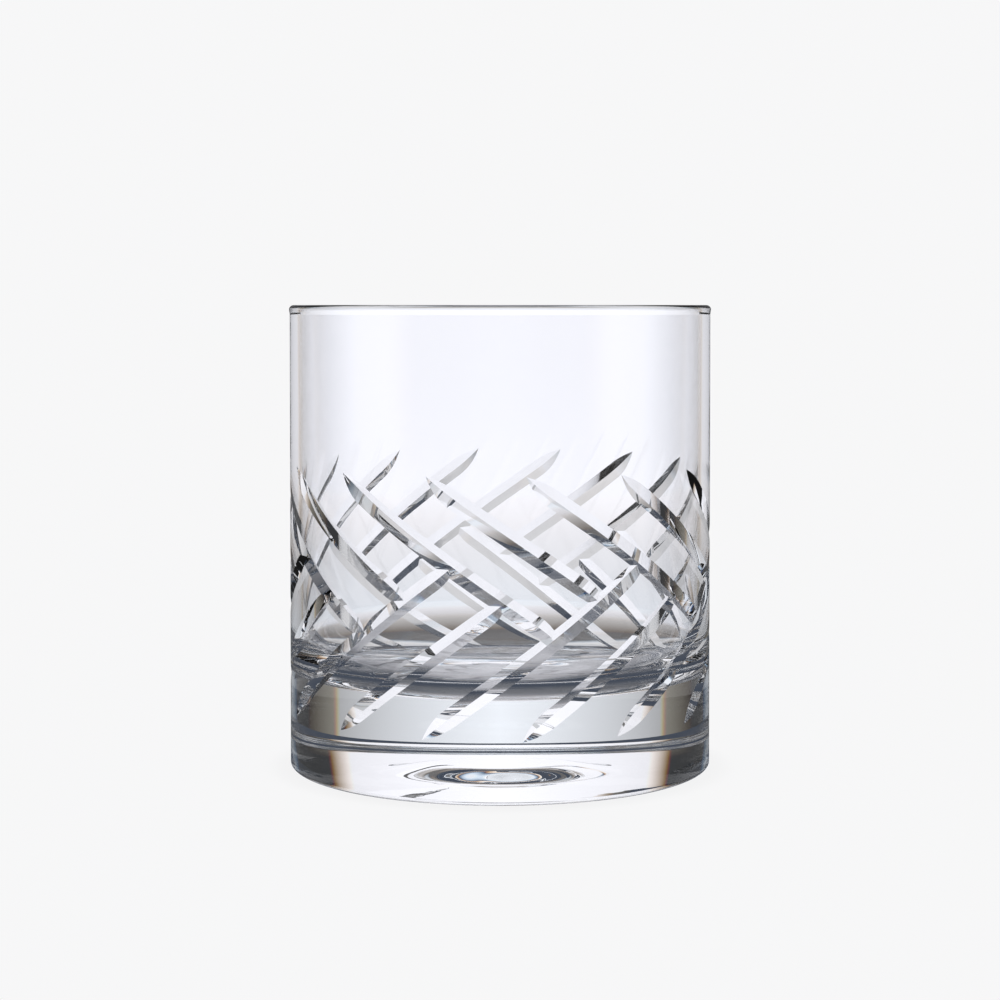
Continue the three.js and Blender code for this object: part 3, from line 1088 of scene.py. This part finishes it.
@dataclass
class Studio:
    """The pale floor, the soft light and the camera."""

    camera_distance: float = 451 * MM
    focal_length: float = 82.9
    shift: float = -0.125
    pitch: float = math.radians(1.74)
    backdrop: tuple[float, float, float] = (0.93, 0.93, 0.935)
    surround: float = 0.14
    fringe: float = 0.02
    fringe_reach: float = 50.0
    reflected_share: float = 0.12
    shade_disc_radius: float = 48 * MM
    floor_reach: float = 6.0
    # The floor's glow dims towards the glass's axis: a painted contact shadow round its foot.
    floor_glow: Glow = ((0.0, (0.837, 0.837, 0.8415)), (41 * MM, (0.8928, 0.8928, 0.8976)),
                        (47 * MM, (0.93, 0.93, 0.935)))
    shade_disc_sides: int = 96
    # Painted light and shade seen through the glass: a grey glow in the middle, dimming to dark blue near
    # the heel, where the glass's shadow falls.
    mat_glow: Glow = ((0.0, (0.50, 0.50, 0.53)), (15 * MM, (0.42, 0.42, 0.45)),
                      (30 * MM, (0.13, 0.135, 0.15)), (40 * MM, (0.055, 0.068, 0.095)))
    softboxes: tuple[Softbox, ...] = (
        Softbox(azimuth=0, half_width=200, low=54, high=120, strength=0.95, colour=COOL_LIGHT,
                end_feather=10),
        Softbox(azimuth=0, half_width=200, low=-100, high=-5, strength=0.66),
        *beside(58, half_width=24, low=-16, high=56, strength=0.04, colour=COOL_LIGHT,
                side_feather=10),
        *beside(98, half_width=22, low=-30, high=30, strength=0.74, side_feather=14, end_feather=20),
        Softbox(azimuth=0, half_width=47, low=-16, high=6, strength=0.20, colour=DRAB_LIGHT,
                side_feather=14),
        Softbox(azimuth=0, half_width=23, low=-80, high=-14, strength=0.88, side_feather=8, fade=0.3),
        Softbox(azimuth=0, half_width=36, low=-8, high=44, strength=1.13, colour=CLEAR_LIGHT, fade=0.2,
                side_feather=8),
        Softbox(azimuth=0, half_width=37.5, low=-15, high=-7, strength=1.0, colour=COOL_LIGHT,
                fade=0.58, side_feather=1.5, end_feather=3),
        Softbox(azimuth=0, half_width=20, low=-20, high=-13, strength=1.0, colour=CLEAR_LIGHT, fade=0.2,
                side_feather=10, end_feather=3),
        Softbox(azimuth=0, half_width=7, low=-80, high=-22, strength=0.14, colour=WARM_LIGHT,
                end_feather=20),
    )

    def camera(self, rim_height: float) -> bpy.types.Object:
        """Places the camera in front of the glass, level with its rim.

        Args:
            rim_height: the height of the rim.

        Returns:
            The camera.
        """
        data = bpy.data.cameras.new("camera")
        data.lens = self.focal_length
        data.sensor_width = 36.0
        data.shift_y = self.shift
        data.clip_start = 0.01
        data.clip_end = 30.0
        camera = bpy.data.objects.new("camera", data)
        camera.location = (0.0, -self.camera_distance, rim_height)
        camera.rotation_euler = (math.pi / 2 - self.pitch, 0.0, 0.0)
        bpy.context.scene.collection.objects.link(camera)
        bpy.context.scene.camera = camera
        return camera

    def world(self) -> None:
        """Lights the scene with softboxes round the glass, behind a pale backdrop."""
        world = bpy.data.worlds.new("studio")
        bpy.context.scene.world = world
        world.use_nodes = True
        tree = world.node_tree
        tree.nodes.clear()
        place = add_node(tree, "ShaderNodeSeparateXYZ",
                         Vector=add_node(tree, "ShaderNodeTexCoord").outputs["Generated"])
        x, y, z = (Term(tree, place.outputs[axis]) for axis in "XYZ")
        azimuth = self._fringed(x.math("ARCTAN2", y) * (180 / math.pi))
        elevation = self._fringed(z.math("ARCSINE") * (180 / math.pi))
        colour: Operand3 = (self.surround,) * 3
        for box in self.softboxes:
            aside = vector_math(tree, "SUBTRACT", azimuth, (box.azimuth,) * 3)
            aside = vector_math(tree, "WRAP", aside, (180.0,) * 3, (-180.0,) * 3)
            aside = vector_math(tree, "ABSOLUTE", aside)
            away = vector_math(tree, "SUBTRACT", elevation, ((box.high + box.low) / 2,) * 3)
            away = vector_math(tree, "ABSOLUTE", away)
            within_sides = self._edge(aside, box.half_width, box.side_feather)
            within_ends = self._edge(away, (box.high - box.low) / 2, box.end_feather)
            inside = vector_math(tree, "MULTIPLY", within_sides, within_ends)
            full = tuple(box.strength * part for part in box.colour)
            loss = tuple(-box.fade / box.half_width * part for part in full)
            light = vector_math(tree, "MULTIPLY_ADD", aside, loss, full)
            gain = vector_math(tree, "SUBTRACT", light, colour)
            colour = vector_math(tree, "MULTIPLY_ADD", inside, gain, colour)
        sees = add_node(tree, "ShaderNodeLightPath")
        filtered = 1.0 - Term(tree, sees.outputs["Is Reflection Ray"]) * (1 - self.reflected_share)
        lights = add_node(tree, "ShaderNodeBackground", Color=colour, Strength=filtered)
        shown = add_node(tree, "ShaderNodeBackground")
        shown.inputs["Color"].default_value = (*self.backdrop, 1.0)
        choice = tree.nodes.new("ShaderNodeMixShader")
        tree.links.new(sees.outputs["Is Camera Ray"], choice.inputs[0])
        tree.links.new(lights.outputs[0], choice.inputs[1])
        tree.links.new(shown.outputs[0], choice.inputs[2])
        leave = add_node(tree, "ShaderNodeOutputWorld")
        tree.links.new(choice.outputs[0], leave.inputs["Surface"])

    def _fringed(self, angle: Term) -> bpy.types.NodeSocket:
        """Spreads an angle over red, green and blue, to give the softboxes coloured fringes.

        Args:
            angle: the angle of a ray, 0 for one that runs straight back.

        Returns:
            The angle for each colour.
        """
        held = angle.math("MAXIMUM", -self.fringe_reach).math("MINIMUM", self.fringe_reach)
        bend = held * self.fringe
        channels = add_node(angle.tree, "ShaderNodeCombineXYZ")
        for axis, side in zip("XYZ", (-1.0, 0.0, 1.0)):
            plug(angle.tree, angle + bend * side, channels.inputs[axis])
        return channels.outputs[0]

    @staticmethod
    def _edge(distance: bpy.types.NodeSocket, reach: float, feather: float) -> bpy.types.NodeSocket:
        """Tells how far inside a softbox's edge a ray lies.

        Args:
            distance: the ray's angle from the softbox's middle line, for each colour.
            reach: the angle from the middle line to the edge.
            feather: the angle over which the edge fades.

        Returns:
            1 inside the softbox and 0 outside it, for each colour.
        """
        tree = distance.id_data
        fall, start = (-1 / feather,) * 3, (reach / feather + 0.5,) * 3
        ramp = vector_math(tree, "MULTIPLY_ADD", distance, fall, start)
        ramp = vector_math(tree, "MINIMUM", ramp, (1.0,) * 3)
        return vector_math(tree, "MAXIMUM", ramp, (0.0,) * 3)

    def floor(self) -> bpy.types.Object:
        """Lays the wide pale floor that the camera sees, with a faint painted shadow where the glass stands.

        Returns:
            The floor.
        """
        reach = self.floor_reach
        corners = [(-reach, -reach, 0), (reach, -reach, 0), (reach, reach, 0), (-reach, reach, 0)]
        floor = self._sheet("floor", corners, self.floor_glow)
        floor.visible_transmission = False
        floor.visible_glossy = False
        floor.visible_diffuse = False
        return floor

    def mat(self) -> bpy.types.Object:
        """Lays a round glowing disc that only rays through the glass see. Its glow is painted light and
        shade under the glass: grey in the middle, dark towards the heel.

        Returns:
            The disc.
        """
        turns = [2 * math.pi * step / self.shade_disc_sides for step in range(self.shade_disc_sides)]
        radius = self.shade_disc_radius
        corners = [(radius * math.cos(turn), radius * math.sin(turn), 0) for turn in turns]
        mat = self._sheet("mat", corners, self.mat_glow)
        mat.visible_camera = False
        return mat

    @staticmethod
    def _sheet(name: str, corners: list[tuple[float, float, float]], glow: Glow) -> bpy.types.Object:
        """Makes a flat stage sheet that glows by distance from the glass's axis.

        Args:
            name: the sheet's name.
            corners: its corners.
            glow: distances from the axis, rising, each with the glow's colour there.

        Returns:
            The sheet.
        """
        mesh = bpy.data.meshes.new(name)
        mesh.from_pydata(corners, [], [tuple(range(len(corners)))])
        sheet = bpy.data.objects.new(name, mesh)
        bpy.context.scene.collection.objects.link(sheet)
        material = bpy.data.materials.new(name + "_glow")
        material.use_nodes = True
        tree = material.node_tree
        tree.nodes.clear()
        place = add_node(tree, "ShaderNodeTexCoord").outputs["Object"]
        away = add_node(tree, "ShaderNodeVectorMath", {"operation": "LENGTH"}, Vector=place)
        colour: object = (*glow[0][1], 1.0)
        for (start, _), (end, target) in zip(glow, glow[1:]):
            share = add_node(tree, "ShaderNodeMapRange", {"interpolation_type": "SMOOTHSTEP"},
                             Value=away.outputs["Value"], From_Min=start, From_Max=end)
            colour = add_node(tree, "ShaderNodeMixRGB", Fac=share.outputs["Result"], Color1=colour,
                              Color2=(*target, 1.0)).outputs["Color"]
        # This glow is painted light and shade, set by the distance from the glass's axis.
        light = add_node(tree, "ShaderNodeEmission", Color=colour)
        leave = add_node(tree, "ShaderNodeOutputMaterial")
        tree.links.new(light.outputs[0], leave.inputs["Surface"])
        mesh.materials.append(material)
        return sheet

    def look(self) -> None:
        """Sets how light is followed and shown."""
        scene = bpy.context.scene
        scene.view_settings.view_transform = "Standard"
        scene.cycles.max_bounces = 32
        scene.cycles.transmission_bounces = 32
        scene.cycles.glossy_bounces = 16
        scene.cycles.transparent_max_bounces = 16
        scene.cycles.use_denoising = True


# ---------------------------------------------------------------------------------------------
# The tumbler
# ---------------------------------------------------------------------------------------------


@dataclass
class Tumbler:
    """The whole glass: turned, cut, polished and dressed."""

    body: GlassBody
    band: CutBand

    def finishes(self) -> dict[Zone, bpy.types.Material]:
        """Builds the finish of each zone."""
        detail = Detail.built()
        return {zone: FINISHES[zone].material(detail) for zone in Zone}

    def build(self) -> bpy.types.Object:
        """Makes the glass.

        Returns:
            The finished piece.
        """
        finishes = self.finishes()
        outline = self.body.outline()
        piece = bpy.data.objects.new("cut_tumbler", self.body.turned(outline))
        bpy.context.scene.collection.objects.link(piece)
        for zone in Zone:
            piece.data.materials.append(finishes[zone])
        piece.data = self.band.grind(piece, finishes[Zone.CUT])
        Polish(self.band, outline, self.body.swirl).apply(piece.data)
        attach(piece, GLASS_BODY)
        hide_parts(GLASS_NODE)
        LOG.info("%s: %d faces", piece.name, len(piece.data.polygons))
        return piece


def main() -> None:
    """Builds the glass and the studio round it."""
    logging.basicConfig(level=logging.INFO, format="%(message)s")
    low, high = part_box(GLASS_NODE)
    body = GlassBody(height=high[2] - low[2], bead_radius=high[0])
    Tumbler(body, CutBand(wall_radius=body.wall_radius)).build()
    studio = Studio()
    studio.camera(rim_height=high[2])
    studio.world()
    studio.floor()
    studio.mat()
    studio.look()


if __name__ == "__main__":
    main()
